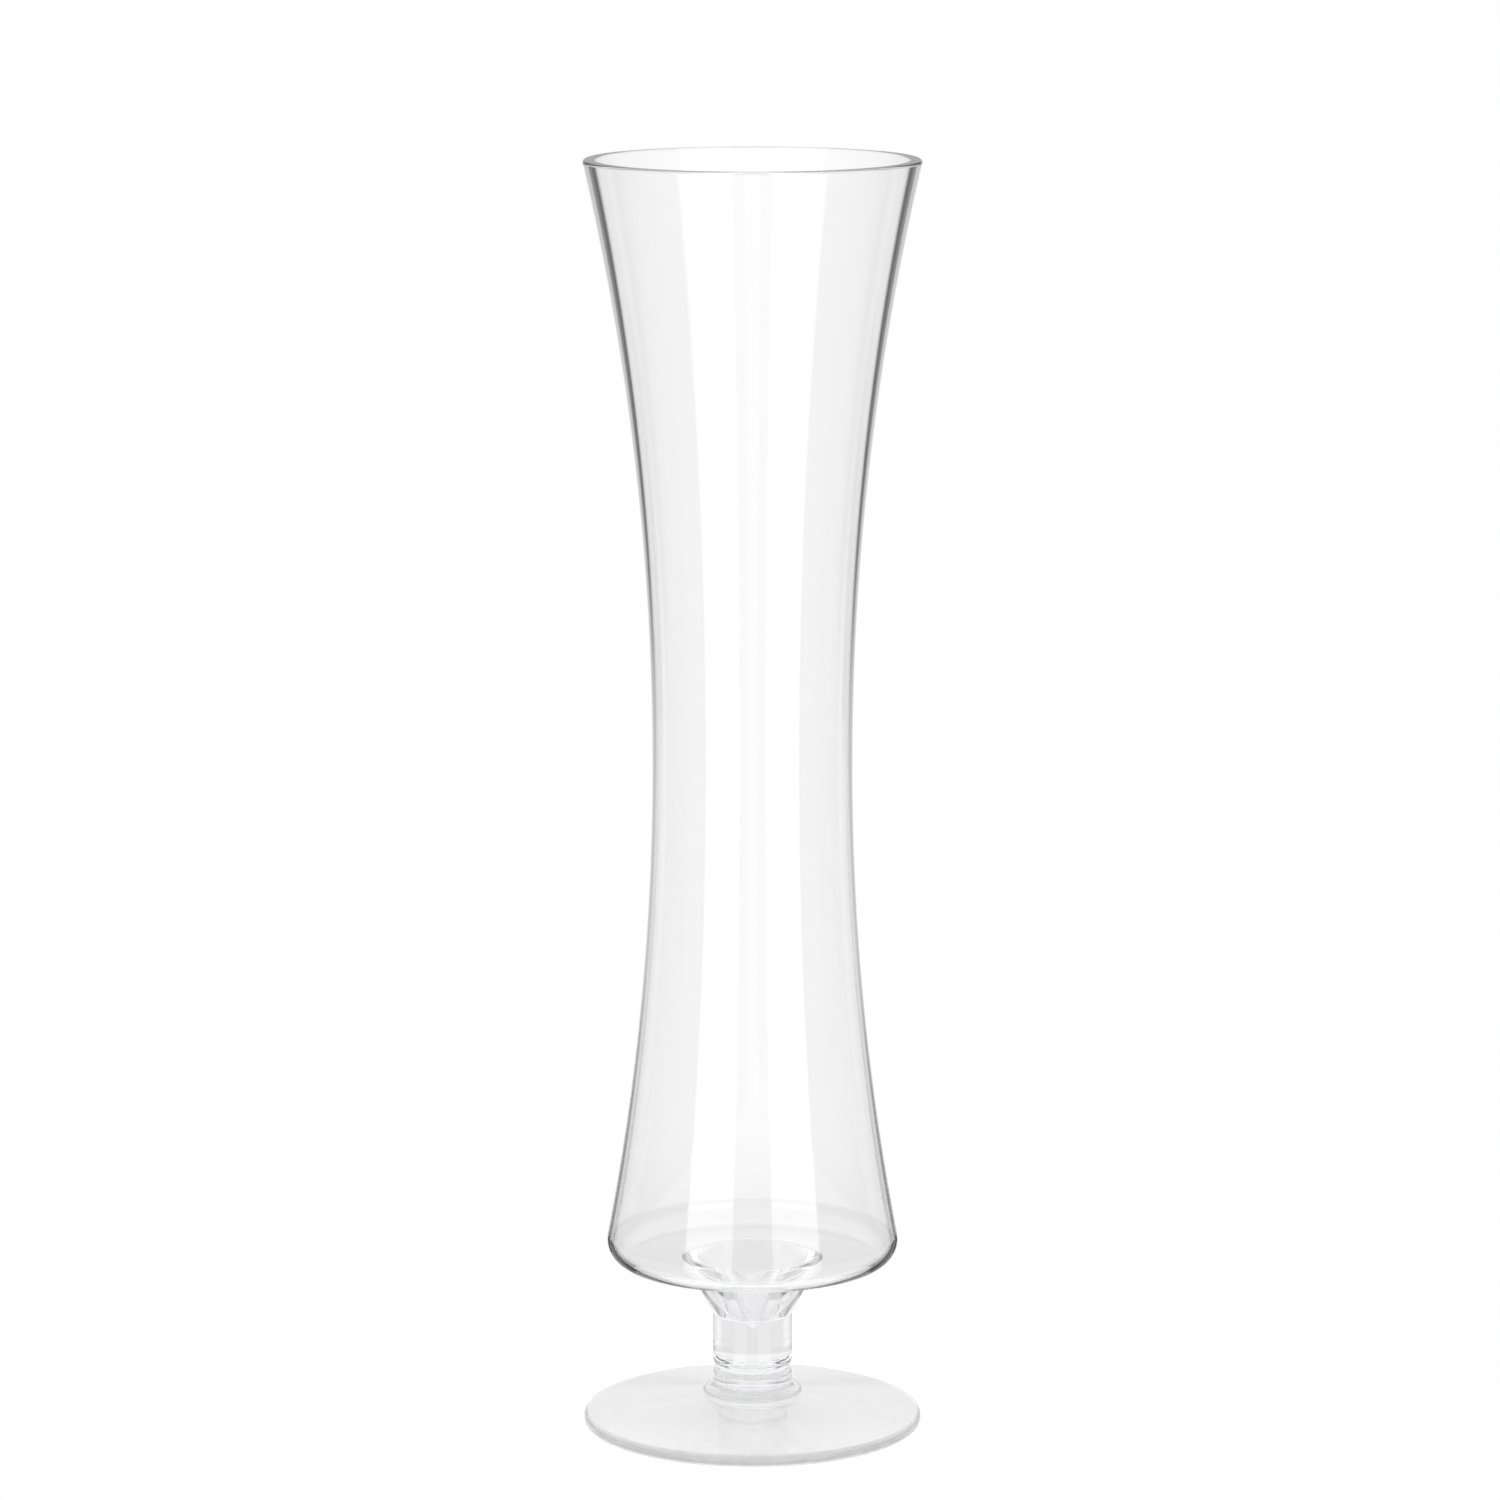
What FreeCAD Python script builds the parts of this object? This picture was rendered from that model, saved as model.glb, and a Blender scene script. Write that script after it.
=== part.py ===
import FreeCAD, Part
import os

import Sketcher

# Driving dimensions of the trumpet vase, in millimetres
# The origin is the centre of the foot's underside and +Z is up
SIZES = {
    # Foot: a round disc whose top rises to a level land
    "foot_radius": 81.6,
    "foot_edge_thickness": 5.7,
    "foot_height": 13.6,
    "foot_land_margin": 1.6,
    # Collar: a drum as wide as the stem, on a round-edged flange
    "collar_height": 13.1,
    "collar_top_round": 2.2,
    "collar_flange_reach": 4.8,
    "collar_flange_thickness": 4.1,
    # Stem: a solid round rod
    "stem_height": 17.5,
    "stem_radius": 19.0,
    "stem_end_round": 4.6,
    # Lower end of the bowl: as wide as the rod, then flared out to the underside
    "neck_height": 10.2,
    "neck_round": 3.0,
    "flare_radius": 32.5,
    "flare_height": 25.4,
    "flare_round": 3.0,
    # Bowl: a waisted trumpet, open at the top, measured from its underside
    "bowl_height": 530.2,
    "rim_radius": 79.8,
    "rim_wall": 6.3,
    "rim_round": 1.2,
    "waist_radius": 47.6,
    "waist_height": 246.4,
    "waist_wall": 1.8,
    "bore_waist_rise": 7.0,
    "base_radius": 72.3,
    "base_wall": 2.5,
    "shoulder_round": 11.0,
    "floor_thickness": 2.8,
    "floor_round": 9.0,
    # Dip: the bore's floor runs down into the flare as a cone
    "dip_radius": 27.5,
    "dip_round": 12.0,
    "dip_tip_height": 3.1,
}

# Each of these goes with the size of the edge or step that it rounds
FOOT_EDGE_ROUND_SHARE = 0.46
FLANGE_EDGE_ROUND_SHARE = 0.46
FLANGE_HOLLOW_SHARE = 0.5

# How close a circle's radius and height have to be to count as the same edge
EDGE_MATCH = 1e-4


class Length:
    """A length: its number, and the expression that gives it from the sheet."""

    def __init__(self, number, text):
        self.number = number
        self.text = text

    def __add__(self, other):
        return Length(self.number + other.number, f"({self.text} + {other.text})")

    def __sub__(self, other):
        return Length(self.number - other.number, f"({self.text} - {other.text})")

    def share(self, part):
        return Length(self.number * part, f"({self.text} * {part})")


ZERO = Length(0.0, "0 mm")


def size(alias):
    return Length(SIZES[alias], f"sizes.{alias}")


def make_sheet(doc):
    """Put each driving dimension in a cell with an alias."""
    sheet = doc.addObject("Spreadsheet::Sheet", "sizes")
    for row, (alias, number) in enumerate(SIZES.items(), start=1):
        sheet.set(f"A{row}", alias)
        sheet.set(f"B{row}", str(number))
        sheet.setAlias(f"B{row}", alias)
    doc.recompute()


def make_body(doc, name, base):
    """An empty body that stands at the given base height."""
    body = doc.addObject("PartDesign::Body", name)
    body.Label = name
    body.setExpression("Placement.Base.z", base.text)
    return body


def side_edge(start, end, waist):
    """The edge between two corners: straight, or an arc that is upright at the waist."""
    first = FreeCAD.Vector(start[0].number, start[1].number, 0)
    last = FreeCAD.Vector(end[0].number, end[1].number, 0)
    if waist is None:
        return Part.LineSegment(first, last), False
    narrow, wide = (first, last) if waist is start else (last, first)
    reach = wide.x - narrow.x
    rise = wide.y - narrow.y
    radius = (reach ** 2 + rise ** 2) / (reach + reach)
    centre = FreeCAD.Vector(narrow.x + radius, narrow.y, 0)
    circle = Part.Circle(centre, FreeCAD.Vector(0, 0, 1), radius)
    turns = [circle.parameter(first), circle.parameter(last)]
    return Part.ArcOfCircle(circle, min(turns), max(turns)), turns[0] > turns[1]


def draw_outline(body, corners, waists=()):
    """Draw a closed half section: each corner is its radius and its height.

    The edges that meet at a waist corner are arcs, centred level with it.
    """
    plane = next(p for p in body.Origin.OriginFeatures if p.Role == "XZ_Plane")
    sketch = body.newObject("Sketcher::SketchObject", f"{body.Name}_outline")
    sketch.AttachmentSupport = [(plane, "")]
    sketch.MapMode = "FlatFace"

    edges = []
    for start, end in zip(corners, corners[1:] + corners[:1]):
        waist = next((c for c in waists if c is start or c is end), None)
        edge, reversed_ends = side_edge(start, end, waist)
        number = sketch.addGeometry(edge)
        start_point, end_point = (2, 1) if reversed_ends else (1, 2)
        edges.append((number, start_point, end_point))
        if waist is not None:
            waist_point = start_point if waist is start else end_point
            sketch.addConstraint(
                Sketcher.Constraint("Horizontal", number, 3, number, waist_point)
            )

    for before, after in zip(edges, edges[1:] + edges[:1]):
        sketch.addConstraint(
            Sketcher.Constraint("Coincident", before[0], before[2], after[0], after[1])
        )

    for corner, (number, start_point, _) in zip(corners, edges):
        for length, kind, axis in zip(corner, ("DistanceX", "DistanceY"), (-2, -1)):
            if length is ZERO:
                rule = Sketcher.Constraint("PointOnObject", number, start_point, axis)
                sketch.addConstraint(rule)
                continue
            rule = Sketcher.Constraint(kind, -1, 1, number, start_point, length.number)
            held = sketch.addConstraint(rule)
            sketch.setExpression(f"Constraints[{held}]", length.text)
    return sketch


def spin(doc, body, sketch):
    """Turn the half section a full turn about the body's upright axis."""
    solid = body.newObject("PartDesign::Revolution", f"{body.Name}_solid")
    solid.Profile = sketch
    solid.ReferenceAxis = (sketch, ["V_Axis"])
    solid.Angle = 360
    doc.recompute()


def round_edge(doc, body, corner, amount, name):
    """Round the circular edge that runs through a corner of the half section."""
    radius, height = corner
    solid = body.Tip
    found = []
    for number, edge in enumerate(solid.Shape.Edges, start=1):
        if not isinstance(edge.Curve, Part.Circle):
            continue
        off_radius = abs(edge.Curve.Radius - radius.number)
        off_height = abs(edge.Curve.Center.z - height.number)
        if max(off_radius, off_height) < EDGE_MATCH:
            found.append(f"Edge{number}")
    if len(found) != 1:
        raise RuntimeError(f"{body.Name} {name}: found {len(found)} edges, not one")
    fillet = body.newObject("PartDesign::Fillet", f"{body.Name}_{name}")
    fillet.Base = (solid, found)
    fillet.setExpression("Radius", amount.text)
    doc.recompute()


def make_foot(doc, base):
    body = make_body(doc, "foot", base)
    land_radius = flange_radius() + size("foot_land_margin")
    lower_edge = (size("foot_radius"), ZERO)
    upper_edge = (size("foot_radius"), size("foot_edge_thickness"))
    land_edge = (land_radius, size("foot_height"))
    corners = [(ZERO, ZERO), lower_edge, upper_edge, land_edge, (ZERO, size("foot_height"))]
    spin(doc, body, draw_outline(body, corners))
    edge_round = size("foot_edge_thickness").share(FOOT_EDGE_ROUND_SHARE)
    round_edge(doc, body, lower_edge, edge_round, "lower_edge")
    round_edge(doc, body, upper_edge, edge_round, "upper_edge")
    return body


def flange_radius():
    return size("stem_radius") + size("collar_flange_reach")


def make_collar(doc, base):
    """The collar is fused between the foot's land and the stem."""
    body = make_body(doc, "stem_collar", base)
    drum = size("stem_radius")
    step = size("collar_flange_thickness")
    lower_edge = (flange_radius(), ZERO)
    upper_edge = (flange_radius(), step)
    hollow = (drum, step)
    top_edge = (drum, size("collar_height"))
    corners = [(ZERO, ZERO), lower_edge, upper_edge, hollow, top_edge, (ZERO, top_edge[1])]
    spin(doc, body, draw_outline(body, corners))
    edge_round = step.share(FLANGE_EDGE_ROUND_SHARE)
    round_edge(doc, body, lower_edge, edge_round, "lower_edge")
    round_edge(doc, body, upper_edge, edge_round, "upper_edge")
    hollow_round = size("collar_flange_reach").share(FLANGE_HOLLOW_SHARE)
    round_edge(doc, body, hollow, hollow_round, "hollow")
    round_edge(doc, body, top_edge, size("collar_top_round"), "top_edge")
    return body


def make_stem(doc, base):
    """The stem is a short solid rod, fused between the collar and the bowl's neck."""
    body = make_body(doc, "stem", base)
    end_edge = (size("stem_radius"), ZERO)
    top_edge = (size("stem_radius"), size("stem_height"))
    corners = [(ZERO, ZERO), end_edge, top_edge, (ZERO, top_edge[1])]
    spin(doc, body, draw_outline(body, corners))
    round_edge(doc, body, end_edge, size("stem_end_round"), "end")
    return body


def make_bowl(doc, base):
    """The bowl's wall thins from the rim to the waist, and its bore ends in the dip."""
    body = make_body(doc, "bowl", base)
    neck = (size("stem_radius"), size("neck_height"))
    underside = neck[1] + size("flare_height")
    flare_edge = (size("flare_radius"), underside)
    top = underside + size("bowl_height")
    waist = (size("waist_radius"), underside + size("waist_height"))
    bore_waist = (waist[0] - size("waist_wall"), waist[1] + size("bore_waist_rise"))
    floor = underside + size("floor_thickness")
    floor_corner = (size("base_radius") - size("base_wall"), floor)
    dip_edge = (size("dip_radius"), floor)
    rim_inside = (size("rim_radius") - size("rim_wall"), top)
    rim_outside = (size("rim_radius"), top)
    shoulder = (size("base_radius"), underside)
    corners = [
        (ZERO, size("dip_tip_height")),
        dip_edge,
        floor_corner,
        bore_waist,
        rim_inside,
        rim_outside,
        waist,
        shoulder,
        flare_edge,
        neck,
        (neck[0], ZERO),
        (ZERO, ZERO),
    ]
    spin(doc, body, draw_outline(body, corners, waists=(bore_waist, waist)))
    round_edge(doc, body, floor_corner, size("floor_round"), "floor_edge")
    round_edge(doc, body, dip_edge, size("dip_round"), "dip_edge")
    round_edge(doc, body, rim_inside, size("rim_round"), "rim_inside")
    round_edge(doc, body, rim_outside, size("rim_round"), "rim_outside")
    round_edge(doc, body, shoulder, size("shoulder_round"), "shoulder")
    round_edge(doc, body, flare_edge, size("flare_round"), "flare")
    round_edge(doc, body, neck, size("neck_round"), "neck")
    return body


def check(doc, bodies):
    """Stop if any object failed or any piece isn't one sound solid."""
    for item in doc.Objects:
        if "Invalid" in item.State or "Error" in item.State:
            raise RuntimeError(f"{item.Name} failed: {item.State}")
    for body in bodies:
        shape = body.Shape
        if shape.isNull() or not shape.isValid() or len(shape.Solids) != 1:
            raise RuntimeError(f"{body.Label} isn't one valid solid")


def main():
    doc = FreeCAD.newDocument("trumpet_vase")
    make_sheet(doc)

    # Each piece stands on the top of the one below it
    foot_top = size("foot_height")
    collar_top = foot_top + size("collar_height")
    stem_top = collar_top + size("stem_height")
    bodies = [
        make_foot(doc, ZERO),
        make_collar(doc, foot_top),
        make_stem(doc, collar_top),
        make_bowl(doc, stem_top),
    ]
    doc.recompute()
    check(doc, bodies)

    os.makedirs("parts", exist_ok=True)
    for body in bodies:
        body.Shape.exportStep(f"parts/{body.Label}.step")
        box = body.Shape.optimalBoundingBox()
        print(
            f"{body.Label}: radius {box.XMax:.2f}, from {box.ZMin:.2f} to {box.ZMax:.2f} mm,"
            f" volume {body.Shape.Volume:.0f} mm3"
        )


main()
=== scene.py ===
import math

import bpy
import numpy as np
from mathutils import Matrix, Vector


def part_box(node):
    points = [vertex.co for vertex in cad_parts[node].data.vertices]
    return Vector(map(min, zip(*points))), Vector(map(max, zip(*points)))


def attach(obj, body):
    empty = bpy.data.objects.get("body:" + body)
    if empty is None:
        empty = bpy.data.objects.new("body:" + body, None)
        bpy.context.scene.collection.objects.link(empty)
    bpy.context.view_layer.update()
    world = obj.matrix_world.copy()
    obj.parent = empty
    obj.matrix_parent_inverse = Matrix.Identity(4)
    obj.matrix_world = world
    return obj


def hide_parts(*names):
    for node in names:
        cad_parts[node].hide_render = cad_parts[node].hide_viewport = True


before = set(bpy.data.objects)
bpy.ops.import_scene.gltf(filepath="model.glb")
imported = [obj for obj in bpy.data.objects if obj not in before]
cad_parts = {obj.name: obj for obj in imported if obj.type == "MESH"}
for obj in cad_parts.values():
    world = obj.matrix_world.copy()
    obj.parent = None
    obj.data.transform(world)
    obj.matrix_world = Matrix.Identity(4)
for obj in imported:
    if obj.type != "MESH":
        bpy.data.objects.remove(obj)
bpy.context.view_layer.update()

# Outer measures of the glass, read from the frame, in metres
FOOT_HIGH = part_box("foot")[1]
COLLAR_LOW, COLLAR_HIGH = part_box("stem_collar")
STEM_LOW, STEM_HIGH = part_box("stem")
BOWL_LOW, BOWL_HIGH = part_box("bowl")

# Round edges leave a narrow upright band, and the hollow one fills half its step
EDGE_ROUND_SHARE = 0.46
HOLLOW_ROUND_SHARE = 0.5

# Foot: a disc whose top rises to a level land
FOOT_EDGE_THICKNESS = 0.0057
FOOT_EDGE_ROUND = EDGE_ROUND_SHARE * FOOT_EDGE_THICKNESS
FOOT_LAND_MARGIN = 0.0016

# Collar: a drum on a round-edged flange
DRUM_RADIUS = 0.019
DRUM_TOP_ROUND = 0.0022
FLANGE_THICKNESS = 0.0041
FLANGE_EDGE_ROUND = EDGE_ROUND_SHARE * FLANGE_THICKNESS
FLANGE_HOLLOW_ROUND = HOLLOW_ROUND_SHARE * (COLLAR_HIGH.x - DRUM_RADIUS)

# Stem: a solid round rod
STEM_RADIUS = DRUM_RADIUS
STEM_END_ROUND = 0.0046

# Bowl: the corners of its half section before they are rounded
NECK_RISE = 0.0102
NECK_ROUND = 0.003
FLARE_RADIUS = 0.0325
FLARE_RISE = 0.0254
FLARE_ROUND = 0.003
SHOULDER_ROUND = 0.011
RIM_RADIUS = 0.0798
RIM_WALL = 0.0063
RIM_ROUND = 0.0012
WAIST_RADIUS = 0.0476
WAIST_RISE = 0.2464
WAIST_WALL = 0.0018
BORE_WAIST_RISE = 0.007
BASE_RADIUS = 0.0723
BASE_WALL = 0.0025
FLOOR_THICKNESS = 0.0028
FLOOR_ROUND = 0.009
DIP_RADIUS = 0.0275
DIP_ROUND = 0.012
DIP_TIP_RISE = 0.0031

# How finely the sections are turned and sampled
SEGMENTS = 320
WALL_STEP = 0.006
ARC_STEP = math.radians(5)
SAME_POINT = 1e-7
ROUNDING_TRIES = 12

# The thick pieces take more of the light that crosses them than the thin wall does
THIN_COLOR = (1, 1, 1, 1)
THICK_COLOR = (0.895, 0.895, 0.905, 1)
FOOT_COLOR = (0.99, 0.99, 0.99, 1)
GLASS_IOR = 1.5

# How the faces are finished: waves in the surface per metre, how deep they are in metres,
# smudges per metre, and the least and the greatest roughness
FIRE_POLISH = (14, 0.00001, 60, (0.0, 0.012))
FOOT_POLISH = (40, 0.00003, 60, (0.1, 0.16))
GROUND_FACE = (900, 0.00002, 250, (0.5, 0.7))
WAVE_DETAIL = 1
SMUDGE_DETAIL = 3
SMUDGE_SPREAD = (0.45, 0.75)

# The places of the four materials on each piece
GLASS, JOINT, GROUND, THICK = range(4)


def unit(vector):
    return vector / np.hypot(*vector)


def left_of(direction):
    return np.array((-direction[1], direction[0]))


class Section:
    """A closed half section, drawn anticlockwise from the axis at the bottom.

    Each band between two points keeps the normal at both of its ends, so that
    round stretches shade smoothly and real edges stay sharp.
    """

    def __init__(self, start):
        self.points = [np.array(start, float)]
        self.bands = []

    def add(self, point, start_normal, end_normal, finish=GLASS):
        self.points.append(np.array(point, float))
        self.bands.append((start_normal, end_normal, finish))

    def line(self, end, finish=GLASS):
        """Run straight to a point, unless the section is there already."""
        start, end = self.points[-1], np.array(end, float)
        if np.hypot(*(end - start)) > SAME_POINT:
            normal = -left_of(unit(end - start))
            self.add(end, normal, normal, finish)

    def arc(self, centre, end_angle, hollow=False, finish=GLASS):
        """Follow a circle from the last point to an angle, the short way round."""
        start = self.points[-1]
        centre = np.array(centre, float)
        radius = np.hypot(*(start - centre))
        start_angle = math.atan2(*(start - centre)[::-1])
        turn = math.remainder(end_angle - start_angle, math.tau)
        side = -1 if hollow else 1
        pieces = max(1, math.ceil(abs(turn) / ARC_STEP))
        angles = [start_angle + turn * n / pieces for n in range(pieces + 1)]
        rays = [np.array((math.cos(a), math.sin(a))) for a in angles]
        for before, after in zip(rays, rays[1:]):
            self.add(centre + radius * after, side * before, side * after, finish)

    def corner(self, corner, beyond, radius, finish=GLASS):
        """Run towards a corner and round it on the way to the point beyond."""
        start = self.points[-1]
        corner, beyond = np.array(corner, float), np.array(beyond, float)
        arriving, leaving = unit(corner - start), unit(beyond - corner)
        cross = arriving[0] * leaving[1] - arriving[1] * leaving[0]
        turn = math.atan2(float(cross), float(arriving @ leaving))
        setback = radius * math.tan(abs(turn) / 2)
        hollow = turn < 0
        inwards = left_of(arriving) * (-1 if hollow else 1)
        touch = corner - setback * arriving
        self.line(touch, finish)
        centre = touch + radius * inwards
        last = corner + setback * leaving
        self.arc(centre, math.atan2(*(last - centre)[::-1]), hollow, finish)


class Wall:
    """One face of the bowl's wall: two arcs that are both upright at the waist."""

    def __init__(self, waist, low_end, high_end):
        self.waist_radius, self.waist_height = waist
        self.arc_below = self.arc_through(low_end)
        self.arc_above = self.arc_through(high_end)

    def arc_through(self, end):
        reach = end[0] - self.waist_radius
        rise = end[1] - self.waist_height
        return (reach ** 2 + rise ** 2) / (2 * reach)

    def arc(self, height):
        return self.arc_above if height > self.waist_height else self.arc_below

    def point(self, height):
        arc = self.arc(height)
        rise = height - self.waist_height
        return np.array((self.waist_radius + arc - math.sqrt(arc ** 2 - rise ** 2), height))

    def outwards(self, height):
        """The direction away from the axis, square to the wall."""
        lean = math.asin((height - self.waist_height) / self.arc(height))
        return np.array((math.cos(lean), -math.sin(lean)))

    def rounding(self, level, radius, side, above):
        """Where an arc that rounds the wall into a level face touches the wall, and its centre.

        side is 1 where the centre lies outside the wall face and -1 where it lies inside.
        """
        centre_height = level + radius * (1 if above else -1)
        height = centre_height
        for _ in range(ROUNDING_TRIES):
            height = centre_height - side * radius * self.outwards(height)[1]
        return height, self.point(height) + side * radius * self.outwards(height)

    def run(self, section, end_height, side):
        """Add the wall from the section's last point to a height."""
        start_height = section.points[-1][1]
        pieces = math.ceil(abs(end_height - start_height) / WALL_STEP)
        heights = np.linspace(start_height, end_height, pieces + 1)
        for before, after in zip(heights, heights[1:]):
            section.add(
                self.point(after), side * self.outwards(before), side * self.outwards(after)
            )


def lathe(name, section, materials):
    """Turn a half section about the Z axis into one closed mesh."""
    angles = np.arange(SEGMENTS) * math.tau / SEGMENTS
    turn = np.stack((np.cos(angles), np.sin(angles)), axis=1)
    vertices, rings = [], []
    for radius, height in section.points:
        first = len(vertices)
        if radius == 0:
            vertices.append((0, 0, height))
            rings.append([first] * SEGMENTS)
        else:
            vertices += [(radius * c, radius * s, height) for c, s in turn]
            rings.append(list(range(first, first + SEGMENTS)))

    faces, finishes, normals = [], [], []
    for number, (start_normal, end_normal, finish) in enumerate(section.bands):
        low, high = rings[number], rings[number + 1]
        for here in range(SEGMENTS):
            there = (here + 1) % SEGMENTS
            corners = [
                (low[here], start_normal, here),
                (low[there], start_normal, there),
                (high[there], end_normal, there),
                (high[here], end_normal, here),
            ]
            if low[here] == low[there]:
                corners.pop(1)
            if high[here] == high[there]:
                corners.pop(2)
            faces.append([vertex for vertex, _, _ in corners])
            finishes.append(finish)
            normals += [
                (normal[0] * turn[at][0], normal[0] * turn[at][1], normal[1])
                for _, normal, at in corners
            ]

    mesh = bpy.data.meshes.new(name)
    mesh.from_pydata(vertices, [], faces)
    mesh.polygons.foreach_set("use_smooth", [True] * len(faces))
    mesh.polygons.foreach_set("material_index", finishes)
    mesh.normals_split_custom_set(normals)
    for material in materials:
        mesh.materials.append(material)
    piece = bpy.data.objects.new(name, mesh)
    bpy.context.scene.collection.objects.link(piece)
    return piece


def foot_section():
    radius, top = FOOT_HIGH.x, FOOT_HIGH.z
    land = COLLAR_HIGH.x + FOOT_LAND_MARGIN
    joint = COLLAR_HIGH.x - FLANGE_EDGE_ROUND
    lower, upper = (radius, 0), (radius, FOOT_EDGE_THICKNESS)
    section = Section((0, 0))
    section.line((radius - FOOT_EDGE_ROUND, 0), GROUND)
    section.corner(lower, upper, FOOT_EDGE_ROUND)
    section.corner(upper, (land, top), FOOT_EDGE_ROUND)
    section.line((land, top))
    section.line((joint, top))
    section.line((0, top), JOINT)
    return section


def collar_section():
    radius, low, top = COLLAR_HIGH.x, COLLAR_LOW.z, COLLAR_HIGH.z
    step = low + FLANGE_THICKNESS
    section = Section((0, low))
    section.line((radius - FLANGE_EDGE_ROUND, low), JOINT)
    section.corner((radius, low), (radius, step), FLANGE_EDGE_ROUND)
    section.corner((radius, step), (DRUM_RADIUS, step), FLANGE_EDGE_ROUND)
    section.corner((DRUM_RADIUS, step), (DRUM_RADIUS, top), FLANGE_HOLLOW_ROUND)
    section.corner((DRUM_RADIUS, top), (0, top), DRUM_TOP_ROUND)
    section.line((STEM_RADIUS - STEM_END_ROUND, top))
    section.line((0, top), JOINT)
    return section


def stem_section():
    low, top = STEM_LOW.z, STEM_HIGH.z
    section = Section((0, low))
    section.line((STEM_RADIUS - STEM_END_ROUND, low), JOINT)
    section.corner((STEM_RADIUS, low), (STEM_RADIUS, top), STEM_END_ROUND)
    section.line((STEM_RADIUS, top))
    section.line((0, top), JOINT)
    return section


def bowl_section():
    low, top = BOWL_LOW.z, BOWL_HIGH.z
    neck = (STEM_RADIUS, low + NECK_RISE)
    under = neck[1] + FLARE_RISE
    flare = (FLARE_RADIUS, under)
    waist = under + WAIST_RISE
    floor = under + FLOOR_THICKNESS
    outside = Wall((WAIST_RADIUS, waist), (BASE_RADIUS, under), (RIM_RADIUS, top))
    bore = Wall(
        (WAIST_RADIUS - WAIST_WALL, waist + BORE_WAIST_RISE),
        (BASE_RADIUS - BASE_WALL, floor),
        (RIM_RADIUS - RIM_WALL, top),
    )
    down, up = -math.pi / 2, math.pi / 2

    section = Section((0, low))
    section.line((STEM_RADIUS, low), JOINT)
    section.corner(neck, flare, NECK_ROUND, THICK)
    section.corner(flare, (BASE_RADIUS, under), FLARE_ROUND, THICK)
    shoulder, centre = outside.rounding(under, SHOULDER_ROUND, -1, True)
    section.line((centre[0], under))
    section.arc(centre, math.atan2(*(outside.point(shoulder) - centre)[::-1]))
    rim, centre = outside.rounding(top, RIM_ROUND, -1, False)
    outside.run(section, rim, 1)
    section.arc(centre, up)
    rim, centre = bore.rounding(top, RIM_ROUND, 1, False)
    section.line((centre[0], top))
    section.arc(centre, math.atan2(*(bore.point(rim) - centre)[::-1]))
    corner, centre = bore.rounding(floor, FLOOR_ROUND, -1, True)
    bore.run(section, corner, -1)
    section.arc(centre, down, hollow=True)
    tip = (0, low + DIP_TIP_RISE)
    section.corner((DIP_RADIUS, floor), tip, DIP_ROUND, THICK)
    section.line(tip, THICK)
    return section


def new_material(name):
    material = bpy.data.materials.new(name)
    material.use_nodes = True
    return material, material.node_tree.nodes["Principled BSDF"]


def noise(tree, scale, detail):
    """A soft irregular pattern that is fixed to the glass, in waves per metre."""
    place = tree.nodes.new("ShaderNodeTexCoord")
    pattern = tree.nodes.new("ShaderNodeTexNoise")
    pattern.inputs["Scale"].default_value = scale
    pattern.inputs["Detail"].default_value = detail
    tree.links.new(place.outputs["Object"], pattern.inputs["Vector"])
    return pattern.outputs["Fac"]


def glass_material(name, color, face):
    """Clear glass: its faces are a little uneven, and here and there a little dull."""
    waves, wave_depth, smudges, roughness = face
    material, shader = new_material(name)
    tree = material.node_tree
    shader.inputs["Base Color"].default_value = color
    shader.inputs["IOR"].default_value = GLASS_IOR
    shader.inputs["Transmission Weight"].default_value = 1
    uneven = tree.nodes.new("ShaderNodeBump")
    uneven.inputs["Strength"].default_value = 1
    uneven.inputs["Distance"].default_value = wave_depth
    tree.links.new(noise(tree, waves, WAVE_DETAIL), uneven.inputs["Height"])
    tree.links.new(uneven.outputs["Normal"], shader.inputs["Normal"])
    dull = tree.nodes.new("ShaderNodeMapRange")
    tree.links.new(noise(tree, smudges, SMUDGE_DETAIL), dull.inputs["Value"])
    dull.inputs["From Min"].default_value = SMUDGE_SPREAD[0]
    dull.inputs["From Max"].default_value = SMUDGE_SPREAD[1]
    dull.inputs["To Min"].default_value = roughness[0]
    dull.inputs["To Max"].default_value = roughness[1]
    tree.links.new(dull.outputs["Result"], shader.inputs["Roughness"])
    return material


def joint_material():
    """A fused joint inside the glass, which light crosses unchanged."""
    material, shader = new_material("fused_joint")
    shader.inputs["Base Color"].default_value = THIN_COLOR
    shader.inputs["Alpha"].default_value = 0
    return material


THIN_GLASS = glass_material("thin_glass", THIN_COLOR, FIRE_POLISH)
THICK_GLASS = glass_material("thick_glass", THICK_COLOR, FIRE_POLISH)
FOOT_GLASS = glass_material("foot_glass", FOOT_COLOR, FOOT_POLISH)
GROUND_GLASS = glass_material("ground_glass", FOOT_COLOR, GROUND_FACE)
FUSED_JOINT = joint_material()

PIECES = (
    ("foot", foot_section, FOOT_GLASS),
    ("stem_collar", collar_section, THICK_GLASS),
    ("stem", stem_section, THICK_GLASS),
    ("bowl", bowl_section, THIN_GLASS),
)
for node, draw, glass in PIECES:
    materials = (glass, FUSED_JOINT, GROUND_GLASS, THICK_GLASS)
    piece = lathe(f"{node}_glass", draw(), materials)
    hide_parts(node)
    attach(piece, "root")


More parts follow.
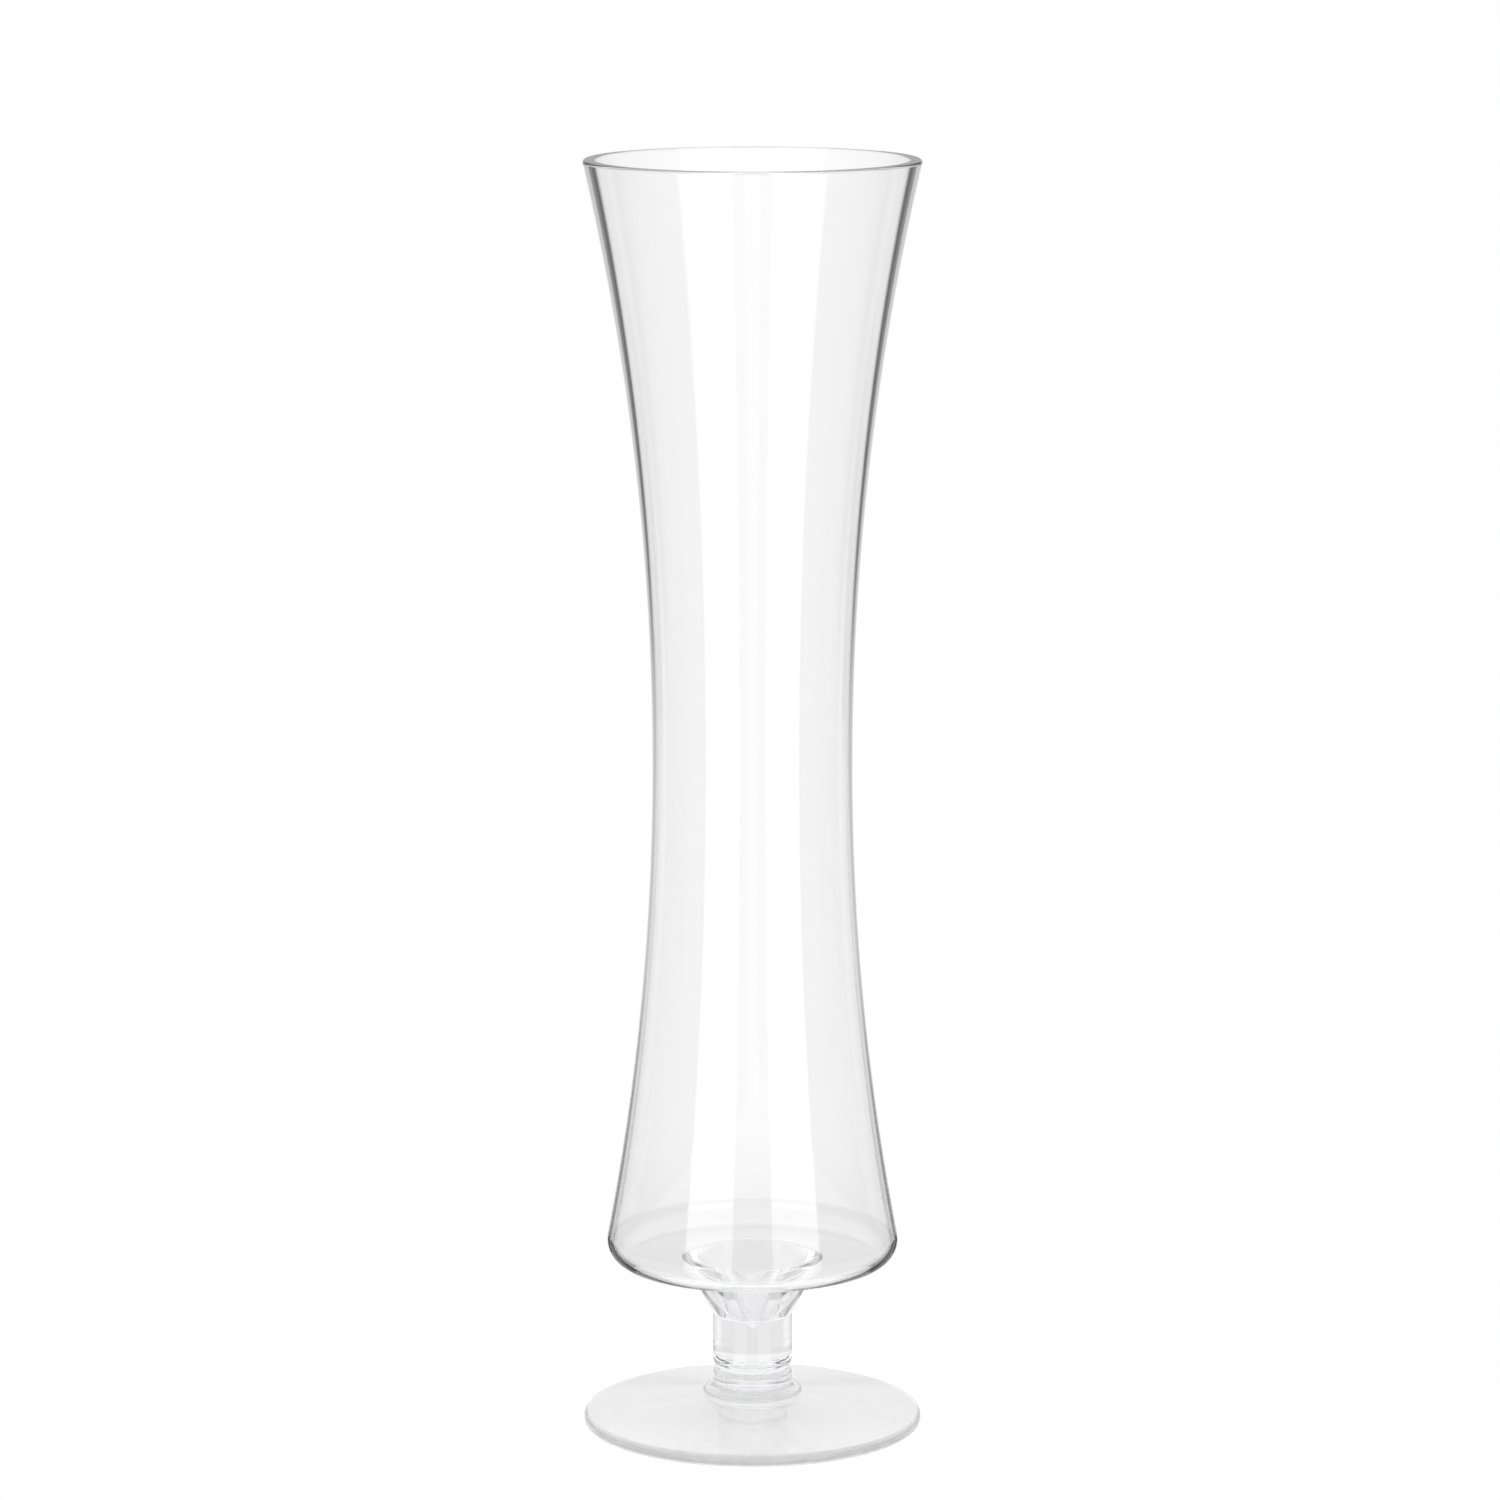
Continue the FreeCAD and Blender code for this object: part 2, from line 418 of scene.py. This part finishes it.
# Studio levels, where 1 is white. FILL is what lights the table, ROOM is the dim room, and
# GAP is the opening between the two front boxes, where the camera stands
WHITE = (1, 1, 1, 1)
FILL_LEVEL = 0.25
ROOM_LEVEL = 0.35
GAP_LEVEL = 0.72
MIDDLE_BOX_LEVEL = 1.0
FRONT_BOX_LEVEL = 1.9
REAR_BOX_LEVEL = 0.7
SIDE_WALL_LEVEL = 0.5
LOW_WALL_LEVEL = 0.65
BACKDROP_LEVEL = 0.86
UPPER_FLAG_LEVEL = 0.03
MIDDLE_FLAG_LEVEL = 0.6
LOWER_FLAG_LEVEL = 0.02
PELMET_LEVEL = 0.6
CEILING_LEVEL = 1.1
LOW_BACKDROP_LEVEL = 0.87

# Where things stand in the studio: degrees round the vase from its front, and degrees up
FRONT_BOXES = (16.0, 55.5)
MIDDLE_BOX = (-6.0, 6.0)
MIDDLE_BOX_HEIGHTS = (-60.0, -11.0)
REAR_BOXES = (118.0, 142.0)
REAR_BOX_HEIGHTS = (-28.0, -6.0)
BACKDROP_START = 167.0
LOW_WALL = (-30.0, -10.8)
FLAGS = (142.0, 158.0)
UPPER_FLAG = (-9.1, 0.0)
MIDDLE_FLAG = (-10.8, -9.1)
LOWER_FLAGS = (157.0, 164.0)
LOWER_FLAG = (-19.0, -10.8)
PELMETS = (174.0, 190.0)
PELMET = (3.5, 7.0)
CEILING_START = 18.0
LOW_BACKDROP_START = 138.0
LOW_BACKDROP = (-15.4, -13.6)

# A ray's depth is over this once it has bounced in that way
BOUNCED = 0.5

# How wide the blurred edges are to each side, in degrees
SOFTNESS = 1.0
FLAG_SOFTNESS = 0.5
BOX_SOFTNESS = 4.0
PELMET_SOFTNESS = 2.0
CEILING_SOFTNESS = 4.0
LOW_BACKDROP_SOFTNESS = 4.0

# The table: what lies under the foot is seen through its ground face. Seen through the glass it
# carries painted light, glowing more towards the front, between the two places of FLOOR_FRONT
# along Y, and painted shade, glowing less past the foot's edge, between two shares of the foot's
# radius
FLOOR_RADIUS = 0.13
FLOOR_DROP = 0.0003
FLOOR_COLOR = (0.8, 0.8, 0.8, 1)
FLOOR_GLOW = 0.82
FLOOR_PAINTED_SHADE_PAST_FOOT = 0.62
FLOOR_PAINTED_GLOW_UNDER_FOOT = 0.87
FLOOR_PAINTED_LIGHT_IN_FRONT = 1.08
FLOOR_FRONT = (-0.06, -0.01)
FOOT_EDGE_SHARES = (0.96, 1.01)


def math_node(tree, operation, *values):
    made = tree.nodes.new("ShaderNodeMath")
    made.operation = operation
    for socket, value in zip(made.inputs, values):
        if isinstance(value, bpy.types.NodeSocket):
            tree.links.new(value, socket)
        else:
            socket.default_value = value
    return made.outputs[0]


def ramp(tree, value, start, end, low, high):
    """A smooth step from low to high as the value goes from start to end."""
    made = tree.nodes.new("ShaderNodeMapRange")
    made.interpolation_type = "SMOOTHSTEP"
    tree.links.new(value, made.inputs["Value"])
    for name, number in zip(("From Min", "From Max", "To Min", "To Max"), (start, end, low, high)):
        made.inputs[name].default_value = number
    return made.outputs["Result"]


def blend(tree, share, first, second):
    """first where share is 0, and second where it is 1."""
    rest = math_node(tree, "SUBTRACT", 1.0, share)
    kept = math_node(tree, "MULTIPLY", first, rest)
    added = math_node(tree, "MULTIPLY", second, share)
    return math_node(tree, "ADD", kept, added)


def beyond(tree, value, start, softness=SOFTNESS):
    """0 below start and 1 above it."""
    return ramp(tree, value, start - softness, start + softness, 0.0, 1.0)


def inside(tree, value, start, end, softness=SOFTNESS):
    """1 from start to end and 0 outside."""
    ends = ramp(tree, value, end - softness, end + softness, 1.0, 0.0)
    return math_node(tree, "MULTIPLY", beyond(tree, value, start, softness), ends)


def stand(tree, level, direction, sides, heights, own_level, softness):
    """Put a panel with a level of its own between two sides and two heights."""
    across = inside(tree, direction[0], *sides)
    upright = inside(tree, direction[1], *heights, softness)
    return blend(tree, math_node(tree, "MULTIPLY", across, upright), level, own_level)


def make_world():
    """A white studio round the vase, in which softboxes, flags and a dim room are mirrored.

    The backdrop is white where it is seen directly, and straight through the glass too but
    for its low part behind the vase, which is a little greyer. What the faces of the glass
    mirror is a dim room with two softboxes in front, a low one between them and two behind.
    On each side, between the rear boxes and the backdrop, a grey wall carries dark flags at
    three heights, which draw the edges of the glass. A pelmet hangs before the backdrop.
    """
    world = bpy.data.worlds.new("studio")
    bpy.context.scene.world = world
    world.use_nodes = True
    tree = world.node_tree
    tree.nodes.clear()
    direction = tree.nodes.new("ShaderNodeTexCoord").outputs["Generated"]
    parts = tree.nodes.new("ShaderNodeSeparateXYZ")
    tree.links.new(direction, parts.inputs[0])
    toward = math_node(tree, "MULTIPLY", parts.outputs["Y"], -1.0)
    azimuth = math_node(tree, "DEGREES", math_node(tree, "ARCTAN2", parts.outputs["X"], toward))
    elevation = math_node(tree, "DEGREES", math_node(tree, "ARCSINE", parts.outputs["Z"]))
    side = math_node(tree, "ABSOLUTE", azimuth)

    gap = ramp(tree, side, FRONT_BOXES[0] - SOFTNESS, FRONT_BOXES[0] + SOFTNESS, 1.0, 0.0)
    level = blend(tree, gap, ROOM_LEVEL, GAP_LEVEL)
    level = blend(tree, inside(tree, side, *FRONT_BOXES), level, FRONT_BOX_LEVEL)
    one_side, both_sides = (azimuth, elevation), (side, elevation)
    level = stand(
        tree, level, one_side, MIDDLE_BOX, MIDDLE_BOX_HEIGHTS, MIDDLE_BOX_LEVEL, BOX_SOFTNESS
    )
    level = stand(
        tree, level, both_sides, REAR_BOXES, REAR_BOX_HEIGHTS, REAR_BOX_LEVEL, BOX_SOFTNESS
    )
    wall = blend(tree, inside(tree, elevation, *LOW_WALL), SIDE_WALL_LEVEL, LOW_WALL_LEVEL)
    level = blend(tree, beyond(tree, side, REAR_BOXES[1]), level, wall)
    level = blend(tree, beyond(tree, side, BACKDROP_START), level, BACKDROP_LEVEL)
    panels = (
        (FLAGS, UPPER_FLAG, UPPER_FLAG_LEVEL, FLAG_SOFTNESS),
        (FLAGS, MIDDLE_FLAG, MIDDLE_FLAG_LEVEL, FLAG_SOFTNESS),
        (LOWER_FLAGS, LOWER_FLAG, LOWER_FLAG_LEVEL, FLAG_SOFTNESS),
        (PELMETS, PELMET, PELMET_LEVEL, PELMET_SOFTNESS),
    )
    for panel in panels:
        level = stand(tree, level, both_sides, *panel)
    above = beyond(tree, elevation, CEILING_START, CEILING_SOFTNESS)
    level = blend(tree, above, level, CEILING_LEVEL)

    path = tree.nodes.new("ShaderNodeLightPath").outputs
    is_straight = math_node(tree, "LESS_THAN", path["Glossy Depth"], BOUNCED)
    is_floor_light = math_node(tree, "GREATER_THAN", path["Diffuse Depth"], BOUNCED)
    backdrop = ramp(tree, elevation, *LOW_BACKDROP, LOW_BACKDROP_LEVEL, 1.0)
    start = beyond(tree, side, LOW_BACKDROP_START, LOW_BACKDROP_SOFTNESS)
    backdrop = blend(tree, start, 1.0, backdrop)
    level = blend(tree, is_straight, level, backdrop)
    level = blend(tree, is_floor_light, level, FILL_LEVEL)
    level = blend(tree, path["Is Camera Ray"], level, 1.0)
    background = tree.nodes.new("ShaderNodeBackground")
    background.inputs["Color"].default_value = WHITE
    tree.links.new(level, background.inputs["Strength"])
    output = tree.nodes.new("ShaderNodeOutputWorld")
    tree.links.new(background.outputs[0], output.inputs["Surface"])


def make_floor():
    """A round white table that keeps the vase's shadow. Seen through the glass it glows with
    painted light towards the front and painted shade past the foot's edge.
    """
    mesh = bpy.data.meshes.new("floor")
    corners = [
        (FLOOR_RADIUS * math.cos(a), FLOOR_RADIUS * math.sin(a), -FLOOR_DROP)
        for a in np.arange(SEGMENTS) * math.tau / SEGMENTS
    ]
    mesh.from_pydata(corners, [], [list(range(SEGMENTS))])
    floor = bpy.data.objects.new("floor", mesh)
    bpy.context.scene.collection.objects.link(floor)
    material = bpy.data.materials.new("white_table")
    material.use_nodes = True
    tree = material.node_tree
    tree.nodes.clear()
    paint = tree.nodes.new("ShaderNodeBsdfDiffuse")
    paint.inputs["Color"].default_value = FLOOR_COLOR
    path = tree.nodes.new("ShaderNodeLightPath").outputs
    seen = math_node(tree, "MAXIMUM", path["Is Camera Ray"], path["Is Glossy Ray"])
    seen = math_node(tree, "MAXIMUM", seen, path["Is Transmission Ray"])
    place = tree.nodes.new("ShaderNodeTexCoord").outputs["Object"]
    reach = tree.nodes.new("ShaderNodeVectorMath")
    reach.operation = "LENGTH"
    tree.links.new(place, reach.inputs[0])
    edge = [share * FOOT_HIGH.x for share in FOOT_EDGE_SHARES]
    outside = ramp(tree, reach.outputs["Value"], *edge, 0.0, 1.0)
    parts = tree.nodes.new("ShaderNodeSeparateXYZ")
    tree.links.new(place, parts.inputs[0])
    # Painted light: seen through the glass, the table glows brighter towards the front than under
    # the foot
    under = ramp(
        tree, parts.outputs["Y"], *FLOOR_FRONT, FLOOR_PAINTED_LIGHT_IN_FRONT, FLOOR_PAINTED_GLOW_UNDER_FOOT
    )
    # Painted shade: seen through the glass, the table glows less past the foot's edge
    behind = blend(tree, outside, under, FLOOR_PAINTED_SHADE_PAST_FOOT)
    # Only the table seen through the glass carries this painted light and shade; seen directly it
    # glows evenly
    is_behind = math_node(tree, "GREATER_THAN", path["Transmission Depth"], BOUNCED)
    level = blend(tree, is_behind, FLOOR_GLOW, behind)
    glow = tree.nodes.new("ShaderNodeEmission")
    tree.links.new(math_node(tree, "MULTIPLY", seen, level), glow.inputs["Strength"])
    both = tree.nodes.new("ShaderNodeAddShader")
    tree.links.new(paint.outputs[0], both.inputs[0])
    tree.links.new(glow.outputs[0], both.inputs[1])
    output = tree.nodes.new("ShaderNodeOutputMaterial")
    tree.links.new(both.outputs[0], output.inputs["Surface"])
    mesh.materials.append(material)


# The camera stands where the photograph's ellipses put it
CAMERA_PLACE = (0.0, -2.8503, 0.83283)
CAMERA_DIP = math.radians(10.012)
CAMERA_LENS = 146.19
CAMERA_SENSOR = 36.0
FRAME_PIXELS = 1500
AXIS_PIXELS_RIGHT = 2.5
CAMERA_CLIP = (0.1, 50)

# How often light turns on its way through the glass, and off plain surfaces
GLASS_BOUNCES = 32
GLOSSY_BOUNCES = 16
DIFFUSE_BOUNCES = 4


def make_camera():
    data = bpy.data.cameras.new("camera")
    data.lens = CAMERA_LENS
    data.sensor_width = CAMERA_SENSOR
    data.shift_x = -AXIS_PIXELS_RIGHT / FRAME_PIXELS
    data.clip_start, data.clip_end = CAMERA_CLIP
    camera = bpy.data.objects.new("camera", data)
    bpy.context.scene.collection.objects.link(camera)
    camera.location = CAMERA_PLACE
    camera.rotation_euler = (math.pi / 2 - CAMERA_DIP, 0, 0)
    bpy.context.scene.camera = camera


def set_up_render():
    scene = bpy.context.scene
    scene.view_settings.view_transform = "Standard"
    scene.cycles.max_bounces = GLASS_BOUNCES
    scene.cycles.transmission_bounces = GLASS_BOUNCES
    scene.cycles.glossy_bounces = GLOSSY_BOUNCES
    scene.cycles.diffuse_bounces = DIFFUSE_BOUNCES
    scene.cycles.transparent_max_bounces = GLASS_BOUNCES


make_world()
make_floor()
make_camera()
set_up_render()
